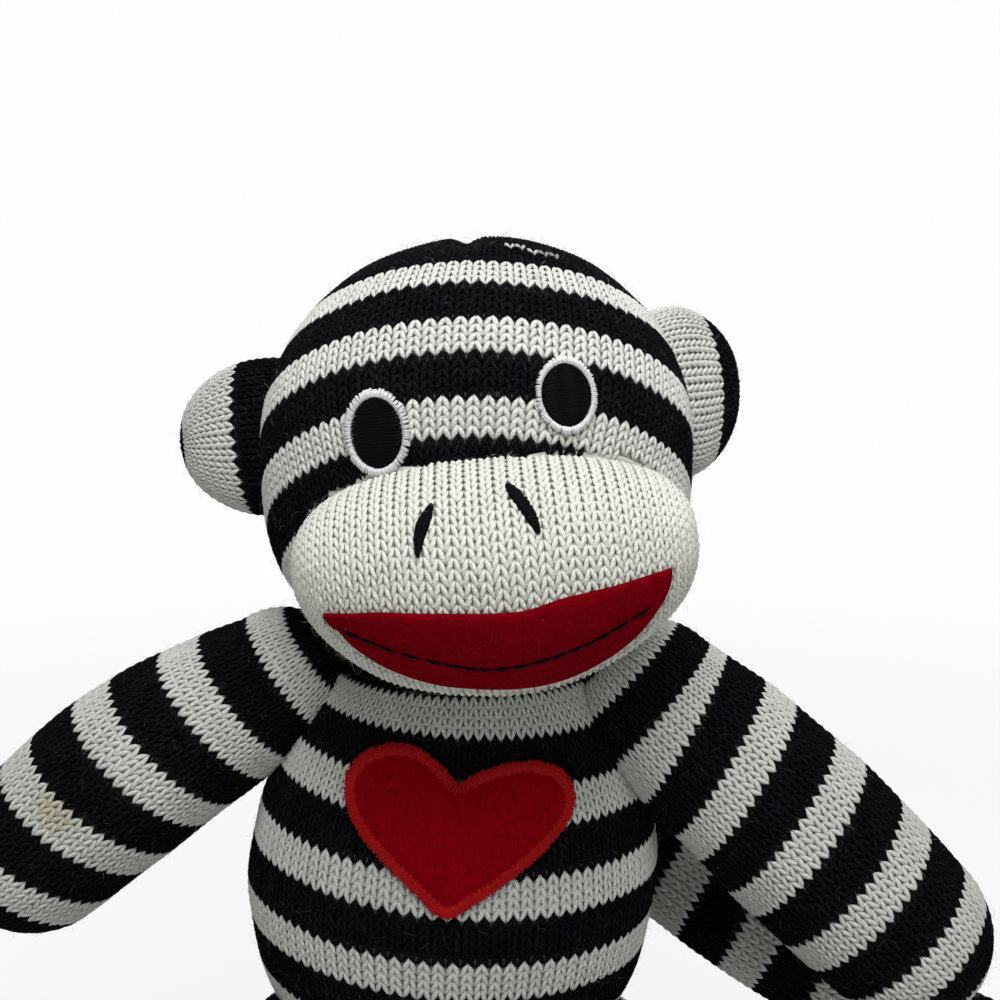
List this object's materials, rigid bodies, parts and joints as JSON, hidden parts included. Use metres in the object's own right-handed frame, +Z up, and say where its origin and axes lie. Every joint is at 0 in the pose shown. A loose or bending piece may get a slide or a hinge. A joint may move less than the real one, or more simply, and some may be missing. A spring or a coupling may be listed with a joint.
{
  "type": "sock monkey doll",
  "caption": "Seated stuffed monkey doll of striped knit, with a plain muzzle, felt mouth and heart, stitched eyes, small ears, long arms and legs and a curled tail.",
  "frame": {"origin": "centre of the flat under the body, on the surface that the doll sits on", "axes": "+Z up; the doll faces -Y; its own left side is at +X"},
  "size_m": [0.3051, 0.236, 0.2368],
  "materials": {
    "striped_knit": "matte",
    "plain_knit": "matte",
    "stuffing": "matte",
    "red_felt": "matte",
    "red_satin": "satin",
    "black_satin": "satin",
    "white_satin": "satin",
    "seam_thread": "matte"
  },
  "bodies": {
    "torso": {"torso_skin": "striped_knit", "torso_stuffing": "stuffing", "heart_felt": "red_felt", "heart_border": "red_satin"},
    "neck": {"neck_seam_thread": "seam_thread"},
    "head": {"head_skin": "striped_knit", "head_stuffing": "stuffing", "crown_thread": "seam_thread", "muzzle_skin": "plain_knit", "muzzle_stuffing": "stuffing", "eye_ring_right": "white_satin", "eye_pupil_right": "black_satin", "eye_ring_left": "white_satin", "eye_pupil_left": "black_satin", "mouth_felt": "red_felt", "mouth_stitch": "black_satin", "nostril_right": "black_satin", "nostril_left": "black_satin", "ear_skin_right": "striped_knit", "ear_stuffing_right": "stuffing", "ear_skin_left": "striped_knit", "ear_stuffing_left": "stuffing"},
    "arm_right": {"arm_skin_right": "striped_knit", "arm_stuffing_right": "stuffing", "arm_seam_thread_right": "seam_thread"},
    "arm_left": {"arm_skin_left": "striped_knit", "arm_stuffing_left": "stuffing", "arm_seam_thread_left": "seam_thread"},
    "leg_right": {"leg_skin_right": "striped_knit", "leg_stuffing_right": "stuffing", "leg_seam_thread_right": "seam_thread"},
    "leg_left": {"leg_skin_left": "striped_knit", "leg_stuffing_left": "stuffing", "leg_seam_thread_left": "seam_thread"},
    "tail": {"tail_skin": "striped_knit", "tail_stuffing": "stuffing", "tail_seam_thread": "seam_thread"}
  },
  "joints": [
    {"name": "neck_turn", "type": "hinge", "parent": "torso", "child": "neck", "pos_m": [0.0045, 0, 0.127], "axis": [0, 0, 1], "range_deg": [-20, 20]},
    {"name": "neck_nod", "type": "hinge", "parent": "neck", "child": "head", "pos_m": [0.0045, 0, 0.127], "axis": [1, 0, 0], "range_deg": [-10, 3]},
    {"name": "shoulder_right", "type": "hinge", "parent": "torso", "child": "arm_right", "pos_m": [-0.04411, -0.0025, 0.12246], "axis": [0, 1, 0], "range_deg": [-8, 70]},
    {"name": "shoulder_left", "type": "hinge", "parent": "torso", "child": "arm_left", "pos_m": [0.05396, -0.008, 0.11861], "axis": [0, 1, 0], "range_deg": [-70, 6]},
    {"name": "hip_right", "type": "hinge", "parent": "torso", "child": "leg_right", "pos_m": [-0.036, -0.013, 0.02], "axis": [-0.933, 0.36, 0], "range_deg": [-75, 12]},
    {"name": "hip_left", "type": "hinge", "parent": "torso", "child": "leg_left", "pos_m": [0.036, -0.016, 0.02], "axis": [-0.9508, -0.3099, 0], "range_deg": [-75, 12]},
    {"name": "tail_swing", "type": "hinge", "parent": "torso", "child": "tail", "pos_m": [0.01, 0.049, 0.062], "axis": [0, 0, 1], "range_deg": [-8, 60]}
  ]
}
